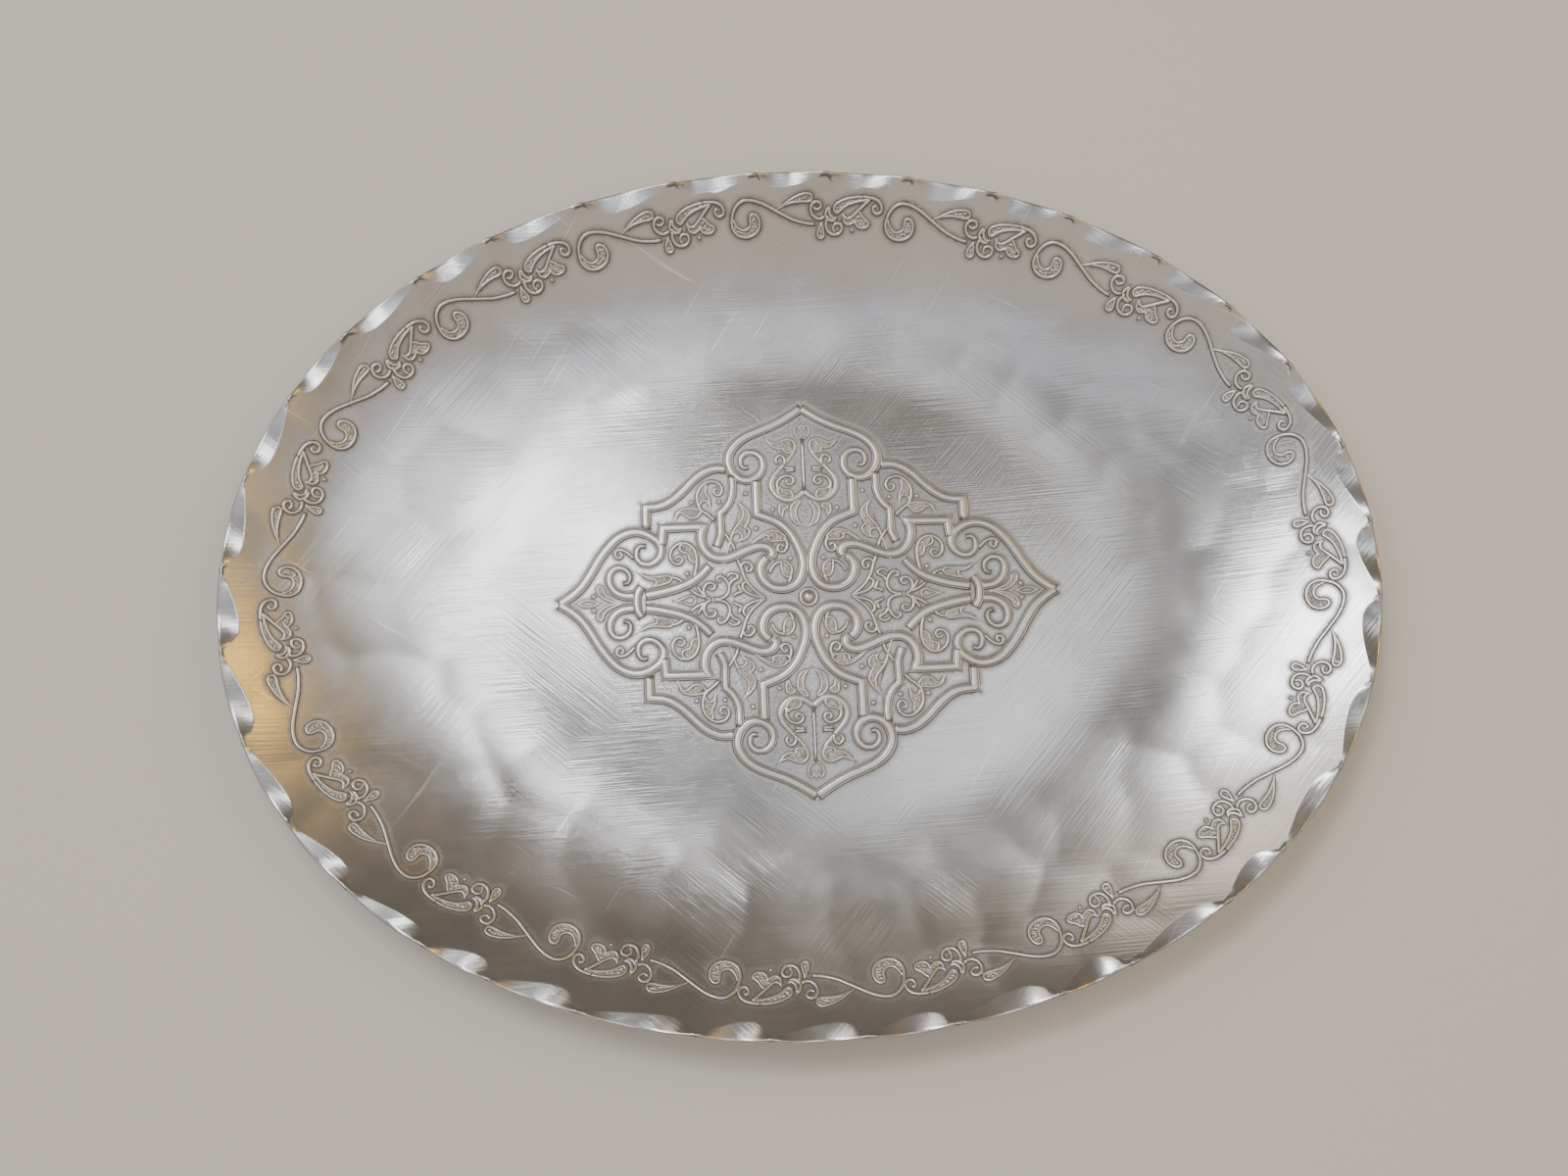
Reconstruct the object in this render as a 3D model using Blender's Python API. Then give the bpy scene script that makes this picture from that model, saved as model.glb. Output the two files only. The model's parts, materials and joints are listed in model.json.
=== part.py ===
"""Hammered oval serving tray: one sheet of aluminium, dished, with a faceted edge and a raised medallion.

Units are metres and +Z is up. The tray lies flat. The origin is the centre of its flat underside,
X runs along the tray and Y runs across it.
"""

import math

import bmesh
import bpy
import numpy as np

# Overall sizes
LENGTH = 0.406  # over the upper edge, as is the width
WIDTH = 0.310
HEIGHT = 0.027  # of the upper edge where two facets meet

# The sheet, and the flat floor that its curved wall rises from
SHEET = 0.0018
FLOOR_LENGTH = 0.200
FLOOR_WIDTH = 0.155
OVAL_POWER = 2.05  # 2 is an ellipse, and more is squarer
WALL_RINGS = 8

# The hammered edge: one facet for each blow, side by side all the way round
FACETS = 36
FACET_REACH = 0.0065  # from the edge in to the facet's crease, at its widest
FACET_TAIL = 0.0020  # the same, where two facets meet
FACET_DROP = 0.0014  # how far the blow bends the edge down
SCALLOP = 0.0012  # how far the edge dips in between two facets
FACET_STEPS = 4  # columns of the mesh along one facet

# The raised band around the medallion, and the boss at its centre
END_CLEARANCE = 0.008  # from the medallion's two far tips to the floor's edge
SIDE_CLEARANCE = 0.004  # from its two near tips to the floor's edge
MEDALLION_OFFSET = 0.002  # the stamped pattern sits a little off centre, towards +X
BAND_WIDTH = 0.0033
RELIEF = 0.0007  # how far the band stands above the floor
RELIEF_ROOT = 0.0006  # how deep the band is joined into the sheet
BOSS_RADIUS = 0.0030
BOSS_HEIGHT = 0.0010
BOSS_SEGMENTS = 24

COLUMNS = FACETS * FACET_STEPS
ARC_SAMPLES = 4000

# A quarter of the medallion's outline on a drawing 184 wide and 147 high, from the top tip down to
# the side tip: ogee point, round lobe, notch, shoulder lobe, square corner, side lobe, ogee point.
DRAWN_LENGTH = 184.0
DRAWN_WIDTH = 147.0
QUARTER_OUTLINE = (
    (0.0, 73.5),
    (4.0, 70.6),
    (11.0, 67.2),
    (19.0, 64.2),
    (24.5, 61.0),
    (28.0, 56.8),
    (29.5, 51.5),
    (34.5, 51.2),
    (40.0, 48.6),
    (45.0, 43.4),
    (50.0, 38.8),
    (55.0, 36.8),
    (60.0, 36.6),
    (60.0, 28.4),
    (66.5, 27.0),
    (72.5, 22.8),
    (77.0, 17.0),
    (81.5, 10.0),
    (86.5, 4.0),
    (92.0, 0.0),
)


def oval(length, width, turn):
    """A point of the oval with these sizes; turn goes from 0 at +X once round to 2 pi."""
    power = 2.0 / OVAL_POWER
    x = math.copysign(abs(math.cos(turn)) ** power, math.cos(turn)) * length / 2.0
    y = math.copysign(abs(math.sin(turn)) ** power, math.sin(turn)) * width / 2.0
    return np.array((x, y))


def even_turns():
    """The turn of each column, so that the columns stand evenly along the edge."""
    turns = np.linspace(0.0, 2.0 * math.pi, ARC_SAMPLES + 1)
    points = np.array([oval(LENGTH, WIDTH, turn) for turn in turns])
    steps = np.hypot(*np.diff(points, axis=0).T)
    run = np.concatenate(((0.0,), np.cumsum(steps)))
    # Half a facet back, so that a facet's middle is on the X axis
    places = (np.arange(COLUMNS) - FACET_STEPS / 2.0) / COLUMNS * run[-1]
    return np.interp(places % run[-1], run, turns)


def lens(column):
    """0 where two facets meet and 1 in the middle of a facet."""
    return math.sin(math.pi * (column % FACET_STEPS) / FACET_STEPS)


def wall_point(turn, share):
    """A point on the smooth inner surface; share is 0 at the floor's edge and 1 at the tray's edge."""
    floor = oval(FLOOR_LENGTH, FLOOR_WIDTH, turn)
    edge = oval(LENGTH, WIDTH, turn)
    x, y = floor + (edge - floor) * share
    return np.array((x, y, SHEET + (HEIGHT - SHEET) * share**2))


def wall_run(turn):
    """The level distance from the floor's edge out to the tray's edge."""
    return float(np.hypot(*(oval(LENGTH, WIDTH, turn) - oval(FLOOR_LENGTH, FLOOR_WIDTH, turn))))


def crease_share(turn, column):
    """Where the inner crease of a facet crosses this column, as a share of the wall."""
    reach = FACET_TAIL + (FACET_REACH - FACET_TAIL) * lens(column)
    return 1.0 - reach / wall_run(turn)


def edge_point(turn, column):
    """A point on the hammered edge: pressed down along each facet and drawn in between two."""
    dip = SCALLOP * (1.0 - lens(column)) / wall_run(turn)
    x, y, _ = wall_point(turn, 1.0 - dip)
    return np.array((x, y, HEIGHT - FACET_DROP * lens(column)))


def grow_ring(bm, ring, points):
    """Extrude the open edges of a ring, and put the new ring's vertices at these points."""
    members = set(ring)
    edges = [edge for edge in bm.edges if edge.is_boundary or not edge.link_faces]
    edges = [edge for edge in edges if edge.verts[0] in members and edge.verts[1] in members]
    grown = bmesh.ops.extrude_edge_only(bm, edges=edges)["geom"]
    fresh = {item for item in grown if isinstance(item, bmesh.types.BMVert)}
    following = []
    for vertex, point in zip(ring, points):
        neighbours = (edge.other_vert(vertex) for edge in vertex.link_edges)
        copy = next(other for other in neighbours if other in fresh)
        copy.co = point
        following.append(copy)
    return following


def dish_mesh():
    """The inner surface of the tray: the floor, then the wall ring by ring out to the edge."""
    turns = even_turns()
    last = min(crease_share(turn, column) for column, turn in enumerate(turns))
    bm = bmesh.new()
    made = bmesh.ops.create_circle(bm, cap_ends=True, segments=COLUMNS, radius=FLOOR_LENGTH / 2.0)
    ring = list(made["verts"])
    for vertex, turn in zip(ring, turns):
        vertex.co = wall_point(turn, 0.0)
    for step in range(1, WALL_RINGS + 1):
        share = last * step / (WALL_RINGS + 1)
        ring = grow_ring(bm, ring, [wall_point(turn, share) for turn in turns])
    creases = [wall_point(turn, crease_share(turn, i)) for i, turn in enumerate(turns)]
    ring = grow_ring(bm, ring, creases)
    ring = grow_ring(bm, ring, [edge_point(turn, i) for i, turn in enumerate(turns)])
    bmesh.ops.recalc_face_normals(bm, faces=bm.faces)
    if sum(face.normal.z for face in bm.faces) < 0.0:
        bmesh.ops.reverse_faces(bm, faces=bm.faces)
    return finish_mesh(bm, "tray")


def medallion_outline():
    """All four quarters of the outline, as one closed run of points."""
    x_scale = (FLOOR_LENGTH - 2.0 * END_CLEARANCE) / DRAWN_LENGTH
    y_scale = (FLOOR_WIDTH - 2.0 * SIDE_CLEARANCE) / DRAWN_WIDTH
    first = [(x * x_scale, y * y_scale) for x, y in QUARTER_OUTLINE]
    second = [(x, -y) for x, y in reversed(first[:-1])]
    half = first + second
    other = [(-x, y) for x, y in reversed(half[1:-1])]
    return half + other


def band_mesh():
    """The raised band: the outline, inset by the band's width, without its middle, made solid."""
    bm = bmesh.new()
    top = SHEET + RELIEF
    # The outline runs clockwise, and a face needs its corners the other way round to face up
    points = reversed(medallion_outline())
    middle = bm.faces.new([bm.verts.new((x + MEDALLION_OFFSET, y, top)) for x, y in points])
    middle.normal_update()
    bmesh.ops.inset_region(
        bm, faces=[middle], thickness=BAND_WIDTH, use_boundary=True, use_even_offset=True
    )
    bmesh.ops.delete(bm, geom=[middle], context="FACES")
    bmesh.ops.solidify(bm, geom=list(bm.faces), thickness=RELIEF + RELIEF_ROOT)
    return finish_mesh(bm, "medallion_band")


def boss_mesh():
    """The boss: a ball pressed flat, its lower half inside the sheet."""
    bm = bmesh.new()
    bmesh.ops.create_uvsphere(
        bm, u_segments=BOSS_SEGMENTS, v_segments=BOSS_SEGMENTS // 2, radius=BOSS_RADIUS
    )
    bmesh.ops.scale(bm, verts=bm.verts, vec=(1.0, 1.0, BOSS_HEIGHT / BOSS_RADIUS))
    bmesh.ops.translate(bm, verts=bm.verts, vec=(MEDALLION_OFFSET, 0.0, SHEET))
    return finish_mesh(bm, "centre_boss")


def finish_mesh(bm, name):
    mesh = bpy.data.meshes.new(name)
    bm.to_mesh(mesh)
    bm.free()
    return mesh


def add_object(mesh):
    item = bpy.data.objects.new(mesh.name, mesh)
    bpy.context.scene.collection.objects.link(item)
    return item


def add_guide(mesh):
    """A shape that is only joined into the tray."""
    guide = add_object(mesh)
    guide.hide_render = True
    guide.display_type = "WIRE"
    return guide


def join(item, guide):
    """Union a guide's shape into the item."""
    union = item.modifiers.new(f"join_{guide.name}", "BOOLEAN")
    union.operation = "UNION"
    union.solver = "EXACT"
    union.object = guide


def aluminium():
    """Satin aluminium, hand rubbed."""
    material = bpy.data.materials.new("satin_aluminium")
    material.use_nodes = True
    shader = material.node_tree.nodes["Principled BSDF"]
    shader.inputs["Base Color"].default_value = (0.52, 0.51, 0.50, 1.0)
    shader.inputs["Metallic"].default_value = 1.0
    shader.inputs["Roughness"].default_value = 0.36
    return material


def make_tray():
    """The whole tray: the dished sheet given its thickness, with the band and the boss joined on."""
    mesh = dish_mesh()
    mesh.materials.append(aluminium())
    mesh.shade_smooth()
    mesh.set_sharp_from_angle(angle=math.radians(30.0))
    tray = add_object(mesh)
    wall = tray.modifiers.new("sheet_thickness", "SOLIDIFY")
    wall.thickness = SHEET
    wall.offset = -1.0
    wall.use_even_offset = True
    join(tray, add_guide(band_mesh()))
    join(tray, add_guide(boss_mesh()))
    return tray


for old in list(bpy.data.objects):
    bpy.data.objects.remove(old, do_unlink=True)

make_tray()
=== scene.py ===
# %% [markdown]
# # A hammered aluminium serving tray
#
# The tray is one sheet of aluminium. A smith dished it, struck its edge into facets, and pressed a
# medallion and a running border up out of it. This lesson builds what the eye sees: the sheet, the
# straps, the vines, the leaves and the dots, each in its own piece. All of them ride on one body.

# %% load the frame
import json
import math

import bmesh
import bpy
import numpy as np
from mathutils import Euler, Matrix, Vector
from mathutils.kdtree import KDTree

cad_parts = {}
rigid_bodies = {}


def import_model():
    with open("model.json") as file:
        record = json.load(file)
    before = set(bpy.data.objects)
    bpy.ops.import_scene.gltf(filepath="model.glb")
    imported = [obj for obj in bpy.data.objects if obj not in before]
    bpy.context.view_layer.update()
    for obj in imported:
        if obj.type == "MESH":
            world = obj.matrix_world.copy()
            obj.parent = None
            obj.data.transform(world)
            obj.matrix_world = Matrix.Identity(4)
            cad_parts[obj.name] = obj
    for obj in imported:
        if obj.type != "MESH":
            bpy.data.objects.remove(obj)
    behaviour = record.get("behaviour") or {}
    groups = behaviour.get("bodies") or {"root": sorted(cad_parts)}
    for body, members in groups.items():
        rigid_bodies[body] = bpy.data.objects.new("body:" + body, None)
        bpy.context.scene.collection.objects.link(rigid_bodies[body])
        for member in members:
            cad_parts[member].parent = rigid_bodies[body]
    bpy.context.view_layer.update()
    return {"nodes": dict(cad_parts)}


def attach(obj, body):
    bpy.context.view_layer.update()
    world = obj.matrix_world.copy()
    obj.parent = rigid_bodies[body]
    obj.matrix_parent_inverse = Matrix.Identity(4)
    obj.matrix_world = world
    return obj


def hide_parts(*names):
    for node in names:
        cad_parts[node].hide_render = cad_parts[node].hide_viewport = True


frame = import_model()
print("frame nodes:", sorted(frame["nodes"]))

# %% [markdown]
# ## Sizes
#
# The tray's own sizes are in metres. The pattern is drawn in millimetres, as an engraver would, and
# is turned into metres when it is laid on the sheet.

# %% sizes
LENGTH = 0.406
WIDTH = 0.310
HEIGHT = 0.027
SHEET = 0.0018
FLOOR_LENGTH = 0.200
FLOOR_WIDTH = 0.155
OVAL_POWER = 2.05  # 2 is an ellipse, and more is squarer

FACETS = 36
FACET_REACH = 0.0068  # from the edge in to the facet's crease, at its widest
FACET_TAIL = 0.0018
FACET_DROP = 0.0023  # how far a blow bends the edge down
SCALLOP = 0.0013  # how far the edge dips in between two facets
EDGE_THICKNESS = 0.0013  # the blows thin the sheet at its edge

GRID = 180  # quads along one side of the sheet's middle
PER_FACET = 20  # columns of quads along one facet
COLUMNS = FACETS * PER_FACET
BODY_SHARE = 0.87  # how far up the wall the middle reaches

MM = 0.001
MEDALLION_CENTRE = (0.002, -0.0008)  # the stamped pattern sits a little off centre
BORDER_CENTRE = (0.0012, 0.0020)
BORDER_REACH = (0.1845, 0.1388)  # half sizes of the ellipse that the border runs along
BORDER_MOTIFS = 18
BORDER_PITCH = 56.7  # millimetres along the border, as are the next two
BORDER_START = 275.6  # where the first motif starts
BORDER_DRIFT = 4.0  # the stamps weren't set quite evenly, and are off by up to this much
print("columns round the edge:", COLUMNS)

# %% [markdown]
# ## The shape of the dish
#
# A point's share says how far up the wall it stands: 0 or less on the flat floor, 1 at the edge.
# Points of one share lie on one oval. There's no short formula for it, so it is found by halving.

# %% the dish as a function
LEAST_SHARE = -0.95  # almost at the tray's centre
MOST_SHARE = 1.4  # well past its edge
HALVINGS = 36


def half_sizes(share):
    """Half the length and half the width of the oval at this share of the wall."""
    along = (FLOOR_LENGTH + (LENGTH - FLOOR_LENGTH) * share) / 2.0
    across = (FLOOR_WIDTH + (WIDTH - FLOOR_WIDTH) * share) / 2.0
    return along, across


def oval(share, turn):
    """Plan points on the oval at this share; turn goes from 0 at +X once round to 2 pi."""
    along, across = half_sizes(share)
    power = 2.0 / OVAL_POWER
    x = np.sign(np.cos(turn)) * np.abs(np.cos(turn)) ** power * along
    y = np.sign(np.sin(turn)) * np.abs(np.sin(turn)) ** power * across
    return x, y


def share_at(x, y):
    """The share of the wall at plan points."""
    under = np.full(np.shape(x), LEAST_SHARE)
    over = np.full(np.shape(x), MOST_SHARE)
    for _ in range(HALVINGS):
        middle = (under + over) / 2.0
        along, across = half_sizes(middle)
        outside = (np.abs(x) / along) ** OVAL_POWER + (np.abs(y) / across) ** OVAL_POWER > 1.0
        under = np.where(outside, middle, under)
        over = np.where(outside, over, middle)
    return over


def smooth_step(value, start, end):
    """0 before start, 1 after end, and a soft S between them."""
    t = np.clip((value - start) / (end - start), 0.0, 1.0)
    return t * t * (3.0 - 2.0 * t)


x_test, y_test = oval(0.5, np.array([0.3, 2.0]))
print("shares found:", np.round(share_at(x_test, y_test), 4))

# %% [markdown]
# ## Hammer marks
#
# Each blow leaves a shallow bowl. Where two bowls meet there is a soft ridge. The surface is the
# lowest of all the bowls, taken with a soft minimum so that the ridges aren't razor sharp.

# %% hammer marks
MARK_SPACING = 0.026
MARK_ROWS = 0.87  # the spacing of their rows, as a share of that, as in a honeycomb
MARK_SCATTER = 0.34  # how far a mark lies from its even place, as a share of the spacing
MARK_RADII = (0.32, 0.74)  # of the bowls: a small radius is a deeper bowl
MARK_DEPTH = 0.00009  # how much higher or lower than the rest a bowl may be
MARK_LEVEL = 0.00012  # taken off every bowl, so that the marks lie around the smooth wall
MARK_SOFTNESS = 0.00002
MARKED_REACH = (0.225, 0.178)  # half sizes of the ellipse that holds the marks
FAINT = 0.10  # the strength of the marks where the floor meets the wall
rng = np.random.default_rng(11)

marks = []
for row in range(-7, 8):
    for column in range(-9, 10):
        x = (column + 0.5 * (row % 2)) * MARK_SPACING
        y = row * MARK_SPACING * MARK_ROWS
        dx, dy = rng.uniform(-MARK_SCATTER, MARK_SCATTER, 2) * MARK_SPACING
        radius = rng.uniform(*MARK_RADII)
        depth = rng.uniform(-MARK_DEPTH, MARK_DEPTH)
        if (x / MARKED_REACH[0]) ** 2 + (y / MARKED_REACH[1]) ** 2 < 1.0:
            marks.append((x + dx, y + dy, radius, depth))


def hammered(x, y, share):
    """How far the hammer marks raise or lower the surface; there are none on the middle of the floor."""
    total = np.zeros(np.shape(x))
    for mark_x, mark_y, radius, depth in marks:
        bowl = ((x - mark_x) ** 2 + (y - mark_y) ** 2) / (2.0 * radius) + depth
        total += np.exp(-bowl / MARK_SOFTNESS)
    ridge = -MARK_SOFTNESS * np.log(np.maximum(total, 1e-30))
    strength = FAINT + (1.0 - FAINT) * smooth_step(share, 0.02, 0.40)
    return (ridge - MARK_LEVEL) * strength * smooth_step(share, -0.25, -0.02)


def surface(x, y):
    """Height of the tray's upper surface."""
    share = share_at(x, y)
    wall = np.clip(share, 0.0, None) ** 2
    return SHEET + (HEIGHT - SHEET) * wall + hammered(x, y, share)


def smooth_normal(x, y):
    """The surface's normal without the hammer marks."""
    step = 0.0005
    share = [share_at(x + a, y + b) for a, b in ((step, 0), (-step, 0), (0, step), (0, -step))]
    rise = [(HEIGHT - SHEET) * np.clip(s, 0.0, None) ** 2 for s in share]
    normal = np.stack(
        [(rise[1] - rise[0]) / (2 * step), (rise[3] - rise[2]) / (2 * step), np.ones(np.shape(x))],
        axis=-1,
    )
    return normal / np.linalg.norm(normal, axis=-1, keepdims=True)


print("hammer marks:", len(marks))

# %% [markdown]
# ## Where the facets are
#
# The smith went round the edge and struck it once for every facet. A facet is deepest near one end,
# where the blow began, and thins out towards the other. No two are quite the same length.

# %% facets
FACET_SHIFT = 0.16  # how far the end of a facet lies from its even place, as a share of a facet
FACET_SIZES = (0.78, 1.12)
DEEP_SHARE = 0.28  # of a facet's length, from its end to where it is deepest
EDGE_SAMPLES = 4001


def perimeter_turns(places):
    """Turns of points that stand at these shares of the way round the edge."""
    turns = np.linspace(0.0, 2.0 * math.pi, EDGE_SAMPLES)
    x, y = oval(1.0, turns)
    run = np.concatenate(((0.0,), np.cumsum(np.hypot(np.diff(x), np.diff(y)))))
    whole = np.floor(places)
    return np.interp((places - whole) * run[-1], run, turns) + 2.0 * math.pi * whole


facet_starts = np.arange(FACETS) - 0.5 + rng.uniform(-FACET_SHIFT, FACET_SHIFT, FACETS)
facet_ends = np.append(facet_starts[1:], facet_starts[0] + FACETS)
facet_size = rng.uniform(*FACET_SIZES, FACETS)

column_number = np.arange(COLUMNS)
facet_number = column_number // PER_FACET
along_facet = (column_number % PER_FACET) / PER_FACET
places = facet_starts[facet_number]
places = places + along_facet * (facet_ends - facet_starts)[facet_number]
turns = perimeter_turns(places / FACETS)

# t is 0 at the deep end of a facet, which is its anticlockwise end
t = 1.0 - along_facet
deep_end = np.sin(0.5 * math.pi * np.clip(t / DEEP_SHARE, 0.0, 1.0)) ** 0.8
past_deep = np.clip((t - DEEP_SHARE) / (1.0 - DEEP_SHARE), 0.0, 1.0)
tail = (0.5 + 0.5 * np.cos(math.pi * past_deep)) ** 0.65
blow = np.where(t < DEEP_SHARE, deep_end, tail) * facet_size[facet_number]
blow = np.where(along_facet == 0.0, 0.0, blow)
bulge = np.sin(math.pi * along_facet) ** 0.7

x_floor, y_floor = oval(0.0, turns)
x_edge, y_edge = oval(1.0, turns)
wall_run = np.hypot(x_edge - x_floor, y_edge - y_floor)
crease_share = 1.0 - (FACET_TAIL + (FACET_REACH - FACET_TAIL) * blow) / wall_run
edge_share = 1.0 - SCALLOP * (1.0 - bulge) / wall_run
print("widest facet, mm:", round(float(((1.0 - crease_share) * wall_run).max() / MM), 1))

# %% [markdown]
# ## Rings of points
#
# The sheet's middle is a grid. From its rim the mesh grows outward ring by ring: up the wall, over
# the crease, across the facet, round the edge, and back underneath.

# %% rings
EDGE_WAVE = 0.00012  # how uneven the edge is, up and down
HALFWAY_THICKNESS = 1.5  # millimetres of sheet under the middle of a facet
ROUND_DEPTH = 1.3
# The rings round the edge: millimetres back from it, and how far down, where ROUND_DEPTH is all of it
EDGE_ROUND = ((0.4, 0.0), (0.12, 0.10), (0.0, 0.35), (0.0, 0.95), (0.12, 1.2), (0.4, ROUND_DEPTH))


def wall_ring(share):
    """Points of one ring on the upper surface."""
    x, y = oval(share, turns)
    return np.stack([x, y, surface(x, y)], axis=-1)


def under(points):
    """The same points on the underside, one sheet lower along the normal."""
    return points - SHEET * smooth_normal(points[:, 0], points[:, 1])


creases = wall_ring(crease_share)
x, y = oval(edge_share, turns)
uneven = np.convolve(rng.uniform(-1.0, 1.0, COLUMNS + 4), np.ones(5) / 5.0, mode="valid")
edge_z = HEIGHT - FACET_DROP * np.sqrt(blow) * bulge + EDGE_WAVE * uneven
edges = np.stack([x, y, edge_z], axis=-1)

outward = edges - creases
outward /= np.linalg.norm(outward, axis=1, keepdims=True)
around = np.roll(edges, -1, axis=0) - np.roll(edges, 1, axis=0)
upward = np.cross(outward, around)
upward /= np.linalg.norm(upward, axis=1, keepdims=True)
upward *= np.sign(upward[:, 2:3])

rings = [wall_ring(BODY_SHARE + (crease_share - BODY_SHARE) * f) for f in (0.25, 0.5, 0.75, 0.95)]
rings.append(creases)
rings += [creases + (edges - creases) * f for f in (0.06, 0.3, 0.55, 0.8)]
for back, down in EDGE_ROUND:
    rings.append(edges - outward * back * MM - upward * down / ROUND_DEPTH * EDGE_THICKNESS)
rings.append((edges + creases) / 2.0 - upward * HALFWAY_THICKNESS * MM)
rings.append(under(creases))
rings.append(under(wall_ring(BODY_SHARE + (crease_share - BODY_SHARE) * 0.5)))
rings.append(under(wall_ring(np.full(COLUMNS, BODY_SHARE))))
print("rings:", len(rings))

# %% [markdown]
# ## The sheet
#
# A square grid becomes a disc when its rings of squares are bent into rings of circles. The disc is
# then stretched to the oval. Each vertex on its rim remembers its column in a layer.

# %% build the sheet
def disc_place(co):
    """Distance from the centre, 0 to 1, and position round it, 0 to COLUMNS, of a grid vertex."""
    u, v = co.x, co.y
    distance = max(abs(u), abs(v))
    if distance < 1e-9:
        return 0.0, 0.0
    if abs(u) >= abs(v):
        angle = 0.25 * math.pi * v / u + (math.pi if u < 0.0 else 0.0)
    else:
        angle = 0.5 * math.pi - 0.25 * math.pi * u / v + (math.pi if v < 0.0 else 0.0)
    return distance, angle / (2.0 * math.pi) * COLUMNS % COLUMNS


def add_disc(bm, column_layer, below):
    """Adds the sheet's middle, seen from above, or from below one sheet lower; returns its rim."""
    made = bmesh.ops.create_grid(bm, x_segments=GRID, y_segments=GRID, size=1.0)["verts"]
    disc = np.array([disc_place(vertex.co) for vertex in made])
    known = np.append(turns, turns[0] + 2.0 * math.pi)
    turn = np.interp(disc[:, 1], np.arange(COLUMNS + 1), known)
    even = disc[:, 1] / COLUMNS * 2.0 * math.pi
    turn = even + (turn - even) * smooth_step(disc[:, 0], 0.4, 1.0)
    x, y = oval(BODY_SHARE, turn)
    x, y = x * disc[:, 0], y * disc[:, 0]
    points = np.stack([x, y, surface(x, y)], axis=-1)
    if below:
        points = under(points)
        points[:, 2] = np.where(share_at(x, y) <= 0.0, 0.0, points[:, 2])
    for vertex, point, (_, column) in zip(made, points, disc):
        vertex.co = point
        vertex[column_layer] = round(column) % COLUMNS
    inside = set(made)
    return [e for e in bm.edges if e.is_boundary and e.verts[0] in inside and e.verts[1] in inside]


def grow(bm, column_layer, rim, points):
    """Extrudes a rim and moves each new vertex to its column's point; returns the new rim."""
    grown = bmesh.ops.extrude_edge_only(bm, edges=rim)["geom"]
    fresh = {item for item in grown if isinstance(item, bmesh.types.BMVert)}
    for vertex in fresh:
        vertex.co = points[vertex[column_layer]]
    flat = (item for item in grown if isinstance(item, bmesh.types.BMEdge))
    return [edge for edge in flat if edge.verts[0] in fresh and edge.verts[1] in fresh]


def store_object(bm, name, smooth=True):
    """Turns a bmesh into a shaded mesh object of the scene."""
    bmesh.ops.recalc_face_normals(bm, faces=bm.faces)
    mesh = bpy.data.meshes.new(name)
    bm.to_mesh(mesh)
    bm.free()
    if smooth:
        mesh.shade_smooth()
    item = bpy.data.objects.new(name, mesh)
    bpy.context.scene.collection.objects.link(item)
    return item


bm = bmesh.new()
column_layer = bm.verts.layers.int.new("column")
rim = add_disc(bm, column_layer, below=False)
for points in rings:
    rim = grow(bm, column_layer, rim, points)
add_disc(bm, column_layer, below=True)
bmesh.ops.remove_doubles(bm, verts=bm.verts, dist=1e-6)
open_edges = sum(edge.is_boundary for edge in bm.edges)
tray_sheet = store_object(bm, "tray_sheet")
print("tray_sheet:", len(tray_sheet.data.polygons), "faces,", open_edges, "open edges")

# %% [markdown]
# ## Drawing with strokes
#
# The pattern is a drawing. A stroke is written as its points, "x,y x,y ...", in millimetres. A "c"
# after a point makes a corner there, and every other point is passed smoothly. Each stroke becomes
# a curve with a cross-section swept along it, and then a mesh.

# %% strokes
SECTION_ROOT = -0.3  # how far a section reaches down into the sheet
PLATE_HALF = 0.15  # half the thickness of a filled outline
PLATE_DROP = 0.05  # how far its middle lies below the sheet's surface
LONGEST_EDGE = 1.6  # longer edges of a plate are cut, so that it can follow the wall


def read_points(text):
    """The points of a stroke as (x, y, is it a corner)."""
    points = []
    for word in text.split():
        x, y = word.rstrip("c").split(",")
        points.append((float(x), float(y), word.endswith("c")))
    return points


def add_section(name, side):
    """A closed cross-section from its right half, listed from the outside in as (x, height)."""
    widest = side[0][0]
    outline = [(-widest, SECTION_ROOT)] + [(-x, h) for x, h in side]
    outline += [(x, h) for x, h in reversed(side) if x > 0.0] + [(widest, SECTION_ROOT)]
    curve = bpy.data.curves.new(name, "CURVE")
    curve.dimensions = "2D"
    spline = curve.splines.new("POLY")
    spline.points.add(len(outline) - 1)
    for point, (x, h) in zip(spline.points, outline):
        point.co = (x, h, 0.0, 1.0)
    spline.use_cyclic_u = True
    item = bpy.data.objects.new(name, curve)
    bpy.context.scene.collection.objects.link(item)
    return item


def add_spline(curve, text, taper, closed):
    """Adds one stroke to a curve. taper gives the section's scale along it, evenly spread."""
    points = read_points(text)
    spline = curve.splines.new("BEZIER")
    spline.bezier_points.add(len(points) - 1)
    spline.use_cyclic_u = closed
    scales = np.interp(np.linspace(0, 1, len(points)), np.linspace(0, 1, len(taper)), taper)
    for knot, (x, y, corner), scale in zip(spline.bezier_points, points, scales):
        knot.co = (x, y, 0.0)
        knot.radius = scale
        handle = "VECTOR" if corner else "AUTO"
        knot.handle_left_type = handle
        knot.handle_right_type = handle


def sweep(strokes, section, resolution):
    """A bmesh of strokes, each (text, taper, closed), swept with one section."""
    curve = bpy.data.curves.new("strokes", "CURVE")
    curve.dimensions = "2D"
    curve.fill_mode = "NONE"
    curve.resolution_u = resolution
    curve.render_resolution_u = resolution
    curve.bevel_mode = "OBJECT"
    curve.bevel_object = section
    curve.use_fill_caps = True
    for text, taper, closed in strokes:
        add_spline(curve, text, taper, closed)
    return curve_bmesh(curve)


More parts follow.
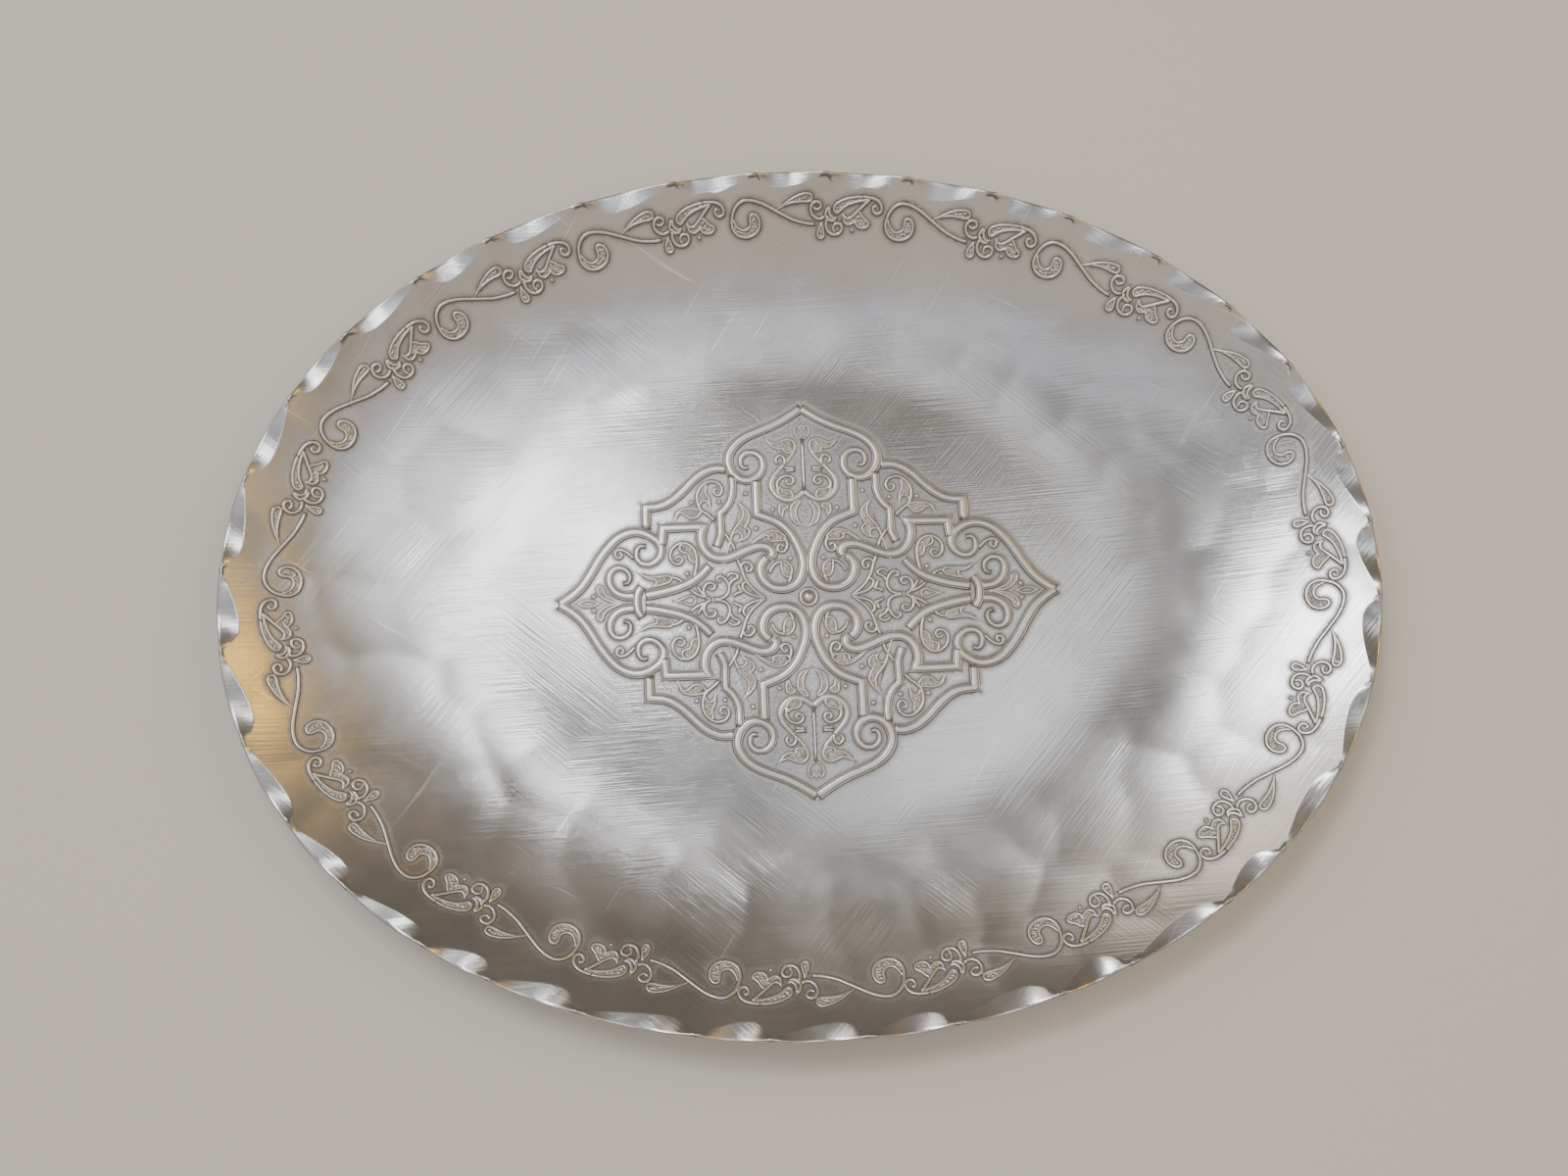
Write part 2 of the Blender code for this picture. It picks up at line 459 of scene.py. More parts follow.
def plates(outlines, resolution):
    """A bmesh of closed outlines filled flat, as thin plates with small faces."""
    curve = bpy.data.curves.new("plates", "CURVE")
    curve.dimensions = "2D"
    curve.fill_mode = "BOTH"
    curve.resolution_u = resolution
    curve.render_resolution_u = resolution
    curve.extrude = PLATE_HALF
    for text in outlines:
        add_spline(curve, text, (1.0,), True)
    bm = curve_bmesh(curve)
    long_edges = [edge for edge in bm.edges if edge.calc_length() > LONGEST_EDGE]
    bmesh.ops.subdivide_edges(bm, edges=long_edges, cuts=2, use_grid_fill=True)
    bmesh.ops.triangulate(bm, faces=bm.faces)
    bmesh.ops.translate(bm, verts=bm.verts, vec=(0.0, 0.0, -PLATE_DROP))
    return bm


def curve_bmesh(curve):
    """The mesh that a curve makes, as a bmesh; the curve is then removed."""
    item = bpy.data.objects.new(curve.name, curve)
    bpy.context.scene.collection.objects.link(item)
    evaluated = item.evaluated_get(bpy.context.evaluated_depsgraph_get())
    bm = bmesh.new()
    bm.from_mesh(evaluated.to_mesh())
    evaluated.to_mesh_clear()
    bpy.data.objects.remove(item, do_unlink=True)
    bmesh.ops.remove_doubles(bm, verts=bm.verts, dist=1e-5)
    return bm


def merge(parts):
    """Several bmeshes as one."""
    whole = bmesh.new()
    for part in parts:
        mesh = bpy.data.meshes.new("part")
        part.to_mesh(mesh)
        part.free()
        whole.from_mesh(mesh)
        bpy.data.meshes.remove(mesh)
    return whole


STRAP = add_section(
    "strap_section",
    ((1.95, 0.0), (1.86, 0.05), (1.78, 0.22), (1.68, 0.48), (1.53, 0.57), (1.38, 0.52), (1.27, 0.26),
     (1.19, 0.26), (1.06, 0.52), (0.7, 0.61), (0.0, 0.65)),
)
VINE = add_section(
    "vine_section", ((0.80, 0.0), (0.70, 0.05), (0.60, 0.32), (0.46, 0.46), (0.24, 0.52), (0.0, 0.54))
)
test = sweep([("0,0 10,0c 10,10", (1.0,), False)], STRAP, 4)
print("a test strap:", len(test.verts), "vertices, volume", round(test.calc_volume(signed=True), 1))
test.free()

# %% [markdown]
# ## Laying the drawing on the tray
#
# A vertex of the drawing has a place (x, y) and a height. The medallion is laid by its centre. The
# border runs clockwise along an ellipse, so its x is a distance along that ellipse and its y points
# outward. Either way the height goes along the sheet's normal.

# %% lay
BORDER_SAMPLES = 8001


def border_plan(x, y, start):
    """Plan points of border drawing points, for the motif that starts at this arc distance."""
    turns = np.linspace(0.0, 2.0 * math.pi, BORDER_SAMPLES)
    ellipse_x = BORDER_REACH[0] * np.cos(turns)
    ellipse_y = BORDER_REACH[1] * np.sin(turns)
    run = np.concatenate(
        ((0.0,), np.cumsum(np.hypot(np.diff(ellipse_x), np.diff(ellipse_y))))
    )
    turn = np.interp((start - x) % run[-1], run, turns)
    out_x = np.cos(turn) / BORDER_REACH[0]
    out_y = np.sin(turn) / BORDER_REACH[1]
    length = np.hypot(out_x, out_y)
    plan_x = BORDER_CENTRE[0] + BORDER_REACH[0] * np.cos(turn) + y * out_x / length
    plan_y = BORDER_CENTRE[1] + BORDER_REACH[1] * np.sin(turn) + y * out_y / length
    return plan_x, plan_y


def lay_points(plan_x, plan_y, heights):
    """Points on the tray at these heights over the sheet."""
    base = np.stack([plan_x, plan_y, surface(plan_x, plan_y)], axis=-1)
    return base + smooth_normal(plan_x, plan_y) * heights[:, None]


def lifted(x, y, spots):
    """How far each drawing point is raised to pass over another strap, in millimetres."""
    lift = np.zeros(np.shape(x))
    for spot_x, spot_y, reach, height in spots:
        distance = np.hypot(np.abs(x) - spot_x, np.abs(y) - spot_y)
        lift = np.maximum(lift, height * (1.0 - smooth_step(distance, reach * 0.5, reach)))
    return lift


FOOT_HEIGHTS = (-0.02, 0.12)  # millimetres; vertices between them are where the relief begins
relief_feet = []  # plan places where the relief meets the sheet, for the ground


def finish_relief(name, bm, plan_x, plan_y, heights, tarnish_and_shade):
    """Lays the vertices, stores the piece and gives each vertex its tarnish and painted shade."""
    at_foot = (heights > FOOT_HEIGHTS[0]) & (heights < FOOT_HEIGHTS[1])
    relief_feet.append(np.stack([plan_x[at_foot], plan_y[at_foot]], axis=-1))
    for vertex, point in zip(bm.verts, lay_points(plan_x, plan_y, heights * MM)):
        vertex.co = point
    item = store_object(bm, name)
    # The layer holds tarnish and painted shade, dark at the foot of the relief and in its grooves
    layer = item.data.attributes.new("tarnish_and_shade", "FLOAT", "POINT")
    layer.data.foreach_set("value", tarnish_and_shade.astype(np.float32))
    print(f"{name}: {len(item.data.polygons)} faces")
    return item


STRAP_RUBBED = (0.10, 0.40)  # heights in millimetres between which the tarnish and painted shade give way to rubbed metal
VINE_RUBBED = (0.04, 0.20)


def tarnish_and_shade_of(heights, rubbed):
    """Tarnish and painted shade: dark at the foot of the relief and in its grooves, and rubbed bright
    above them.
    """
    return 1.0 - smooth_step(heights, *rubbed)


ALL_QUARTERS = ((1, 1), (-1, 1), (1, -1), (-1, -1))
ROOTED_BELOW = 0.04  # millimetres; lower vertices stay in the sheet where a strap is raised


def lay_medallion(name, quarter, spots=(), copies=ALL_QUARTERS, rubbed=VINE_RUBBED, tarnish_and_shade=None):
    """Mirrors a quarter drawing into all of them and lays it on the floor."""
    parts = []
    for flip_x, flip_y in copies:
        part = quarter.copy()
        bmesh.ops.scale(part, verts=part.verts, vec=(flip_x, flip_y, 1.0))
        parts.append(part)
    quarter.free()
    whole = merge(parts)
    drawn = np.array([vertex.co for vertex in whole.verts])
    heights = drawn[:, 2]
    # Dark at the feet and in the grooves: tarnish together with painted shade
    shade = tarnish_and_shade_of(heights, rubbed) if tarnish_and_shade is None else np.full(len(heights), tarnish_and_shade)
    lift = lifted(drawn[:, 0], drawn[:, 1], spots)
    raised = np.where(heights > ROOTED_BELOW, heights + lift, heights)
    plan_x = drawn[:, 0] * MM + MEDALLION_CENTRE[0]
    plan_y = drawn[:, 1] * MM + MEDALLION_CENTRE[1]
    return finish_relief(name, whole, plan_x, plan_y, raised, shade)


def lay_border(name, motif, tarnish_and_shade=None):
    """Repeats one motif all the way round the wall."""
    drawn = np.array([vertex.co for vertex in motif.verts])
    whole = merge([motif.copy() for _ in range(BORDER_MOTIFS)])
    motif.free()
    plans = []
    for number in range(BORDER_MOTIFS):
        # There's no drift between the eighth motif and the ninth, nor straight across from there
        drift = BORDER_DRIFT * math.sin(2.0 * math.pi * (number - 7.5) / BORDER_MOTIFS)
        start = (BORDER_START - BORDER_PITCH * number + drift) * MM
        plans.append(border_plan(drawn[:, 0] * MM, drawn[:, 1] * MM, start))
    plan_x = np.concatenate([plan[0] for plan in plans])
    plan_y = np.concatenate([plan[1] for plan in plans])
    heights = np.tile(drawn[:, 2], BORDER_MOTIFS)
    shade = tarnish_and_shade_of(heights, VINE_RUBBED) if tarnish_and_shade is None else np.full(len(heights), tarnish_and_shade)
    return finish_relief(name, whole, plan_x, plan_y, heights, shade)


print("one motif every", BORDER_PITCH, "mm")

# %% [markdown]
# ## The medallion's straps
#
# One quarter of the drawing is enough, because the medallion is the same four times over. The straps
# are the wide bands with a bead along each side. Their inner ends curl into scrolls and narrow.

# %% straps
plain = (1.0,)
top_lobe = (
    "0,71.9c 5,68.6 11,65.4 17,63.0 22,60.6 25.6,57.4 27.4,53.8 27.2,50.0 25.3,46.7 22,44.8"
    " 18.4,45.2 15.6,47.6 14.8,51 16.4,54.2 19.7,55.3 22.4,53.9 23.1,51.4 21.9,49.4 20.3,49.6"
)
inner_strap = (
    "17.7,44.5 17.7,40 17.7,31.6c 14,30.2 10,28.3 6,24.5 3.1,19 1.7,14.5 1.9,9.5 4.0,5.4 7,3.7"
    " 10,3.4 13.2,4.2 15.9,6.6 17.2,9.8 16.7,12.9 14.6,15.2"
)
loop_strap = (
    "13.4,15.2 12.6,16.4 12.9,17.9 14.6,19.2 17.5,19.5 21,18.5 25.5,16.6 30,15.3 34.2,16.0"
    " 37.2,18.8 38.4,22.4 38.2,25.4 37.3,27.4c 44,27.4 52.3,27.3c 52.6,24 53,21"
)
shoulder = "28.6,49.2 32,49.5 36,48.4 40,45.8 44.2,41.6 48.4,38.0 52.5,35.9 58.4,35.2c 58.4,27.0"
ribbon = "26.5,46.5 26.5,40.5 27.2,37.5 29,34.4 31.2,32.4c 31.2,28 31.2,24.5 32.0,21.8 32.9,19.7"
side_lobe = (
    "90.3,0c 86.2,2.6 82.5,5.8 79,10.7 75.5,16.5 72,21 68.5,24.2 64.5,25.9 60.5,26.0 56.5,24.2"
    " 53.6,21.4 53.1,18 54.8,15.3 58,13.9 61.2,15.2 62.1,18.3 60.7,20.8 58.7,20.6"
)
crossing = "35.6,12.9 38,10.2 41.5,7.4 46,5.3 50,4.1 55,3.0 59.2,2.4"
beyond_collar = (
    "63.4,2.3 64.8,2.3 68,2.9 70.8,5 72.1,8 71.5,11.2 69,12.9 66.2,12.2 64.6,9.8 65.2,7.4 67,6.9"
)
narrowing = (1.0, 1.0, 1.0, 1.0, 0.9, 0.75, 0.6, 0.45)

straps = sweep(
    [
        (top_lobe, narrowing, False),
        (inner_strap, plain, False),
        (loop_strap, plain, False),
        (shoulder, plain, False),
        (side_lobe, narrowing, False),
        (crossing, (0.85, 1.0, 1.0), False),
        (beyond_collar, (0.95, 0.8, 0.6, 0.4), False),
    ],
    STRAP,
    5,
)
medallion_straps = lay_medallion("medallion_straps", straps, rubbed=STRAP_RUBBED)

over_straps = sweep([(ribbon, (0.82,), False)], STRAP, 5)
medallion_ribbons = lay_medallion(
    "medallion_ribbons",
    over_straps,
    spots=((27.0, 47.0, 6.0, 0.2), (32.4, 18.0, 7.0, 0.25)),
    rubbed=STRAP_RUBBED,
)

collars = sweep([("60.4,5.8 61.9,3.2 62.3,0 61.9,-3.2 60.4,-5.8", (0.8,), False)], STRAP, 6)
medallion_collars = lay_medallion(
    "medallion_collars",
    collars,
    spots=((62.0, 0.0, 9.0, 0.35),),
    copies=((1, 1), (-1, 1)),
    rubbed=STRAP_RUBBED,
)

# %% [markdown]
# ## Vines
#
# The vines are thin round lines. They thin out at their tips.

# %% vines
vine_texts = {
    "spiral by the side scroll": "63.2,16.3 65,18.2 67.5,19.6 69.4,19.2 69.7,17.6 68.6,16.6 67.5,17.2"
    " 67.6,18.3 68.4,18.6",
    "side leaf stem": "45.5,7.0 47.5,8.3 49.7,8.9",
    "ring": "41.4,8.6 40.7,11 40.3,13.5 40.4,17 42,20.2 45,21.5 48,20.4 49.7,17.6 49.2,14.9"
    " 47.4,13.6 45.6,14.4 45.5,15.8 46.8,16.5 48.1,15.6",
    "flower trumpet": "28.6,5.0 27.6,6.8 25.4,8.3 26,9.2 28,9.5 29.5,8.2",
    "flower left": "34,0.2 31.8,0.4 29.6,1.6 28.7,4 29.2,6.2 30.6,8.1 32.0,8.7 33.0,7.9 32.6,6.8"
    " 31.7,6.9",
    "flower right": "35.5,0.2 37.2,1.1 38.0,3.0 37.5,5.2 35.9,6.3 34.1,5.7 33.9,4.6 35.1,3.8"
    " 36.2,4.6",
    "flower stem": "37.3,0.9 38.6,2.6 40.3,5.4",
    "flower stem low": "37.3,0.9 40.3,2.2 43.2,4.3",
    "sprig": "25.4,5.3 24.9,3.6 23.8,2.2",
    "sprig low": "24.3,2.5 25.5,2.3 27.3,1.2",
    "inward": "25.4,14.8 24.3,12 22.8,7.5 20.5,4.0 17.5,1.4 15.6,0",
    "inward leaf edge": "22.6,6.4 23.8,5.2 23.2,3.2 21.0,1.6 18.5,0.8 16.2,0.2",
    "inward spiral": "24.2,11.8 23.7,13.0 22.2,13.6 20.6,12.8 20.2,11.2 21.3,10.1 22.3,10.8"
    " 21.9,11.9",
    "stem over the loop": "26.2,18.2 27,20.5 28.4,22.6 29.6,24.8",
    "loop spiral": "8.3,22.6 7.2,20.6 7.3,18.5 8.6,17.1 10.2,17.5 10.5,19 9.4,19.9 8.4,19.0",
    "circle tail": "8.9,13.4 11,13 12.8,11.4 13.8,9.2",
    "circle stem": "6.2,8.5 6.3,7 7.3,5.6",
    "heart ring": "9.0,40.0 9.9,42.0 9.3,44.2 7.5,45.6 5.2,45.8 3.9,44.6 4.2,43.0 5.6,42.6"
    " 6.4,43.6 5.6,44.6",
    "heart bar": "3,48.7 7.3,48.9",
    "heart bar low": "3.2,47.9 6.9,47.7",
    "heart spiral": "7.0,50.0 6.8,52.2 8.1,53.7 9.8,52.8 10.0,51.4 9.2,50.6",
    "shoulder tendril": "33.2,29.6 35.5,31.8 38.2,34 39.4,37 39.2,40.3 37.4,43 35,44.4 32.3,44.2"
    " 30.6,42.7 30.3,40.6 31.4,39.2 33,39.8 33,41.4 31.8,41.6",
}
vines = sweep(
    [(text, (0.95, 0.95, 0.9, 0.7), False) for text in vine_texts.values()],
    VINE,
    4,
)
medallion_vines = lay_medallion("medallion_vines", vines)

heart = (
    "0,39.9c 2.2,38.0 5,36.8 8.6,37.4 11,39.6 12.0,42.4 11.2,45.4 9.0,48.2 6.0,51.5 3.6,54.5"
    " 2.7,57 3.4,59.4"
)
hearts = sweep([(heart, (0.62, 0.66, 0.6, 0.4, 0.3), False)], STRAP, 5)
medallion_hearts = lay_medallion("medallion_hearts", hearts)

stems = sweep([("0,40.5 0,50 0,60", (0.95,), False)], VINE, 3)
medallion_stems = lay_medallion("medallion_stems", stems, copies=((1, 1), (1, -1)))

# %% [markdown]
# ## Leaves
#
# A leaf has a thin raised outline and a stippled field inside it, which stands a little lower.

# %% leaves
leaf_texts = {
    "tip crescent": "68.0,0.3c 72,0.7 75,2.4 76.4,4.6 75.8,6.2 74.9,6.0 74.2,4.2 72.5,2.4 70,1.2",
    "side panel": "49.7,8.9 52,9.4 55,9.1 58,9.2 60.3,10.1c 57.5,8.4 55.3,8.0 55.0,7.2 55.8,5.7c"
    " 54,6.0 51.5,6.7 50.0,7.4",
    "ring leaf": "40.6,14.4 40.3,17 41.6,19.8 43.8,21.1 45.6,20.9 46.3,19.6 45.8,18.4 44.4,17.9"
    " 43.3,17.2 42.9,15.6 42.0,14.4",
    "big leaf": "24.2,35.8c 22.0,33.9 20.6,31.4 21.0,28.7 22.3,27.0c 20.8,25.7 20.9,24.0 22.3,22.4"
    " 24.2,21.8c 23.4,23.0 23.8,24.3 25.2,25.0 26.6,24.5 27.7,22.0c 26.6,25.4 24.6,28.0 22.9,30.6"
    " 23.0,33.6",
    "loop leaf": "7.6,21.8 8.6,23.8 11.2,25.1 14.2,24.7 17,23.1 19.2,21.2c 16.5,22.6 14.4,23.6"
    " 13.7,23.2 13.8,22.2 12.5,21.3 10,21.4",
    "circle leaf": "6.2,8.3 5.7,10.6 6.8,12.8 8.9,13.6 9.4,12.4 9.2,10 8.4,8.2 7.2,7.6",
    "heart leaf": "4.8,37.3 4.5,39.2 6,40.5 8,40.7 9.6,41.6 9.3,39.2 7.4,37.4",
    "top leaf": "2.7,57 3.5,59.2 5.5,59.9 8,59.1 10,58.4 12.8,59.4c 11.8,58 10.3,56.8 8.3,56.3"
    " 7.2,56.5 6.8,55.3 5,54.7 3.3,55.5",
    "crescent": "3.4,35.6 5,34 5.1,30.5 4,28 1.6,26.9c 2.9,29 3.4,31.5 2.9,34 1.8,36",
    "small leaf": "6.3,34 7.8,32.8 8.4,30.6c 9.2,31.4 9.4,33.2 8.8,35",
    "shoulder leaf": "36.2,43.2 36.3,40.5 35.2,38 34.9,35.0c 35.7,36.8 37.0,37.3 38.2,36.4"
    " 38.7,35.2c 39.3,38 38.8,41",
    "shoulder side leaf": "38.2,33.4 41,34.3 44.5,34.2 46.8,33 47.5,31c 46,32.9 44.2,32.4 42.5,31"
    " 40.2,30.9 38.7,32.2",
}
FIELD_TARNISH = 0.22
outlines = sweep([(text, (0.7,), True) for text in leaf_texts.values()], VINE, 4)
fields = plates(leaf_texts.values(), 4)
medallion_leaf_edges = lay_medallion("medallion_leaf_edges", outlines)
medallion_leaf_fields = lay_medallion("medallion_leaf_fields", fields, tarnish_and_shade=FIELD_TARNISH)

axis_leaves = {
    "drop": "41.0,0 41.5,1.2 43.0,1.7 45.0,0.9 47.7,0c 45.0,-0.9 43.0,-1.7 41.5,-1.2",
    "tip": "76,0c 78,0.9 79.8,1.2 81.6,0.9 83.3,0c 81.6,-0.9 79.8,-1.2 78,-0.9",
}
outlines = sweep([(text, (0.6,), True) for text in axis_leaves.values()], VINE, 4)
medallion_drops = lay_medallion("medallion_drops", outlines, copies=((1, 1), (-1, 1)))

tulip = (
    "0,60 1.6,60.6 2.6,62.5 2.4,64.8 1.6,65.2 0.9,63.9c 0,65.4c -0.9,63.9c -1.6,65.2 -2.4,64.8"
    " -2.6,62.5 -1.6,60.6"
)
outlines = sweep([(tulip, (0.5,), True)], VINE, 4)
medallion_tulips = lay_medallion("medallion_tulips", outlines, copies=((1, 1), (1, -1)))

# %% [markdown]
# ## Dots and the boss
#
# Small round dots fill the gaps, and a boss in a ring marks the centre.

# %% dots
def add_domes(places, radius, height):
    """A bmesh of round domes on the drawing, their lower halves sunk in the sheet."""
    bm = bmesh.new()
    for x, y in places:
        made = bmesh.ops.create_uvsphere(bm, u_segments=16, v_segments=10, radius=1.0)["verts"]
        bmesh.ops.scale(bm, verts=made, vec=(radius, radius, height))
        bmesh.ops.translate(bm, verts=made, vec=(x, y, 0.02))
    return bm


dot_places = (
    (77.7, 2.6), (43.7, 10.0), (18.2, 26.2), (21.5, 39.5), (6.0, 14.6), (11.8, 33.2), (31.4, 36.7),
    (41.5, 36.7),
)
medallion_dots = lay_medallion("medallion_dots", add_domes(dot_places, 0.85, 0.36))
boss = merge(
    [
        add_domes(((0.0, 0.0),), 2.1, 0.95),
        sweep([("3,0 0,3 -3,0 0,-3", (0.85,), True)], VINE, 8),
    ]
)
centre_boss = lay_medallion("centre_boss", boss, copies=((1, 1),))

# %% [markdown]
# ## The border
#
# One motif is a curling stem, two small spirals, a long leaf, a palmette and a few buds. Its x runs
# clockwise along the rim and its y points outward.

# %% border
border_vine_texts = {
    "stem and curl": "27,-3.0 24,-2.8 21,-2.2 18,-1.3 15,0.1 12,1.6 9,3.2 6,4.5 3,5.25 0.5,5.2"
    " -1.8,4.0 -3.3,2.2 -4.1,0 -4.4,-2.0 -3.9,-4.0 -2.4,-5.6 0,-6.4 2.5,-6.2 4.8,-5.0 5.9,-3.2"
    " 5.9,-1.2 5.0,0.3 3.8,0.8 2.9,0.5c 2.5,-0.6 2.6,-2.2 1.8,-3.5 0,-4.1 -1.6,-3.6 -2.9,-2.2"
    " -3.8,-0.4",
    "outer spiral": "30.5,-0.6 28.5,-1.3 26.5,-0.6 25.3,1.0 25.4,2.8 26.6,4.0 28.2,4.0 29.0,3.0"
    " 28.4,2.0 27.2,1.7 26.2,2.3",
    "calyx left": "32.1,2.7 31.0,1.2 30.8,0.0 31.4,-1.0 31.2,-2.2",
    "calyx right": "32.1,2.5 32.1,1.0 32.9,-0.4 34.0,-1.0 35.2,-0.7",
    "calyx low": "31.0,-0.3 32.2,-1.6 33.5,-1.8 34.7,-1.3",
    "inner spiral": "31.4,-1.2 31.0,-2.8 31.3,-4.4 32.4,-5.8 34.2,-6.3 36.0,-5.9 37.0,-4.6"
    " 36.8,-3.2 35.4,-2.6 34.1,-3.2 33.8,-4.5 34.6,-5.6",
    "hook": "44,6.2 46.8,6.1 48.5,5.8 50.3,4.9 51.3,3.2 51.0,1.8 49.8,1.2 48.6,1.6 48.1,2.8"
    " 48.7,3.6 49.4,3.3",
    "branch": "46.8,5.6 45,3.9 43,2.0 41.2,0.3 39.6,-0.8 38.3,-0.7 37.5,-0.1",
}
border_leaf_texts = {
    "bud": "15,3.0c 17,4.3 19.5,5.6 22,6.4 24,6.7 25.4,6.1 25.6,5.0 24.8,4.3 22,4.2 19,4.0 17,3.6",
    "teardrop": "29.3,-3.0c 28.4,-4.4 27.9,-6.0 28.2,-7.2 29.2,-7.6 30.2,-7.0 30.1,-5.4 29.7,-4.0",
    "long leaf": "34.6,0.9 33.8,1.8 34.2,3.2 35.6,4.2 38,5.2 41,5.9 44,6.2 46.8,6.0c 45.5,5.3"
    " 43,4.8 40.5,4.1 38,3.0 36.2,1.6 35.2,0.8",
    "palmette": "37.5,-0.1c 37.5,-1.2 38.2,-2.4 39.6,-2.8 41.0,-2.2 42.0,-1.6c 42.3,-2.6 43.4,-3.5"
    " 45.0,-3.7 46.5,-3.2 47.0,-2.2 46.2,-1.4 45.0,-0.6 44.0,0.6 42.6,1.4 41.2,0.2 39.6,-0.8"
    " 38.3,-0.7",
}
comma_field = (
    "-4.0,-1.0 -3.9,-4.0 -2.4,-5.6 0,-6.4 2.5,-6.2 4.8,-5.0 5.9,-3.2 5.9,-1.2 5.0,0.3 3.8,0.8"
    " 2.9,0.5c 2.5,-0.6 2.6,-2.2 1.8,-3.5 0,-4.1 -1.6,-3.6 -2.9,-2.2"
)
vines = sweep(
    [(text, (0.95, 1.0, 0.95, 0.75), False) for text in border_vine_texts.values()], VINE, 3
)
outlines = sweep([(text, (0.8,), True) for text in border_leaf_texts.values()], VINE, 3)
border_vines = lay_border("border_vines", vines)
border_leaf_edges = lay_border("border_leaf_edges", outlines)
border_leaf_fields = lay_border(
    "border_leaf_fields",
    plates([*border_leaf_texts.values(), comma_field], 3),
    tarnish_and_shade=FIELD_TARNISH,
)
border_dots = lay_border("border_dots", add_domes(((41.0, -4.7),), 0.7, 0.4))

for section in (STRAP, VINE):
    bpy.data.objects.remove(section, do_unlink=True)

# %% [markdown]
# ## The ground between the lines
#
# Tarnish gathers beside each raised line, where the polishing cloth doesn't reach, and shade falls
# there too; both are painted. The ground is a fine mesh a hair above the sheet. It holds that painted
# tarnish and shade: dark beside a line, and gone 2.5 mm from it.

# %% ground
GROUND_REACH = 2.6 * MM
GROUND_GAP = 0.014 * MM  # over the sheet
SHADES = ((0.50, 0.6 * MM), (0.12, 1.8 * MM))  # how dark the tarnish and painted shade are, and how far they spread
MEDALLION_HALF = (0.0965, 0.0775)  # half sizes of the medallion's ground before it is trimmed
BORDER_HALF = 0.0098  # half the width of the border's ground
BORDER_SHIFT = 0.0005  # how far its middle lies inward of the ellipse
feet = np.concatenate(relief_feet)
tree = KDTree(len(feet))
for number, (x, y) in enumerate(feet):
    tree.insert((x, y, 0.0), number)
tree.balance()


def lay_ground(name, bm, plan_x, plan_y):
    """Keeps the ground near the lines, paints tarnish and shade on it by its distance from them, and
    lays it.
    """
    gaps = np.array([tree.find((x, y, 0.0))[2] for x, y in zip(plan_x, plan_y)])
    kept = gaps < GROUND_REACH
    points = lay_points(plan_x, plan_y, np.full(len(gaps), GROUND_GAP))
    # Painted shade and tarnish, darkest beside a line
    shade = sum(dark * np.exp(-((gaps / spread) ** 2)) for dark, spread in SHADES)
    shade *= 1.0 - smooth_step(gaps, 0.6 * GROUND_REACH, 0.95 * GROUND_REACH)
    vertices = list(bm.verts)
    for vertex, point in zip(vertices, points):
        vertex.co = point
    far = [vertex for vertex, keep in zip(vertices, kept) if not keep]
    bmesh.ops.delete(bm, geom=far, context="VERTS")
    item = store_object(bm, name)
    if item.data.polygons[0].normal.z < 0.0:
        item.data.flip_normals()
    layer = item.data.attributes.new("tarnish_and_shade", "FLOAT", "POINT")
    layer.data.foreach_set("value", shade[kept].astype(np.float32))
    print(f"{name}: {len(item.data.polygons)} faces")
    return item


bm = bmesh.new()
bmesh.ops.create_grid(bm, x_segments=270, y_segments=216, size=1.0)
drawn = np.array([vertex.co for vertex in bm.verts])
medallion_ground = lay_ground(
    "medallion_ground",
    bm,
    drawn[:, 0] * MEDALLION_HALF[0] + MEDALLION_CENTRE[0],
    drawn[:, 1] * MEDALLION_HALF[1] + MEDALLION_CENTRE[1],
)

bm = bmesh.new()
bmesh.ops.create_grid(bm, x_segments=1280, y_segments=26, size=1.0)
drawn = np.array([vertex.co for vertex in bm.verts])
run_length = BORDER_MOTIFS * BORDER_PITCH * MM
outward_place = drawn[:, 1] * BORDER_HALF - BORDER_SHIFT
plan = border_plan(drawn[:, 0] * run_length / 2.0, outward_place, 0.0)
border_ground = lay_ground("border_ground", bm, *plan)

relief = [
    medallion_straps, medallion_ribbons, medallion_collars, medallion_vines, medallion_hearts,
    medallion_stems, medallion_leaf_edges, medallion_drops, medallion_tulips, medallion_dots,
    centre_boss, border_vines, border_leaf_edges, border_dots,
]
stippled = [medallion_leaf_fields, border_leaf_fields]
grounds = [medallion_ground, border_ground]
print("raised pieces:", len(relief) + len(stippled), "and grounds:", len(grounds))

# %% [markdown]
# ## Ride on the frame
#
# Every piece belongs to the one body, and the sheet stands for the plain one of the frame.

# %% ride
pieces = [tray_sheet, *relief, *stippled, *grounds]
for piece in pieces:
    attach(piece, "root")
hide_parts("tray")
print("pieces on the body:", len(pieces))

# %% [markdown]
# ## Materials
#
# The metal is satin aluminium, rubbed by hand. Its colours are written as sRGB codes and turned into
# linear light. One small function adds a node with its settings and links.

# %% helpers for materials
def colour(code):
    """An sRGB colour code as linear red, green, blue and alpha."""
    values = [int(code[i : i + 2], 16) / 255.0 for i in (1, 3, 5)]
    linear = [v / 12.92 if v <= 0.04045 else ((v + 0.055) / 1.055) ** 2.4 for v in values]
    return (*linear, 1.0)


def add_node(tree, kind, inputs=None, **settings):
    """Adds a node. inputs maps a socket's name or number to a value or to what feeds it."""
    made = tree.nodes.new(kind)
    for name, value in settings.items():
        setattr(made, name, value)
    for name, value in (inputs or {}).items():
        if isinstance(value, bpy.types.NodeSocket):
            tree.links.new(value, made.inputs[name])
        else:
            made.inputs[name].default_value = value
    return made


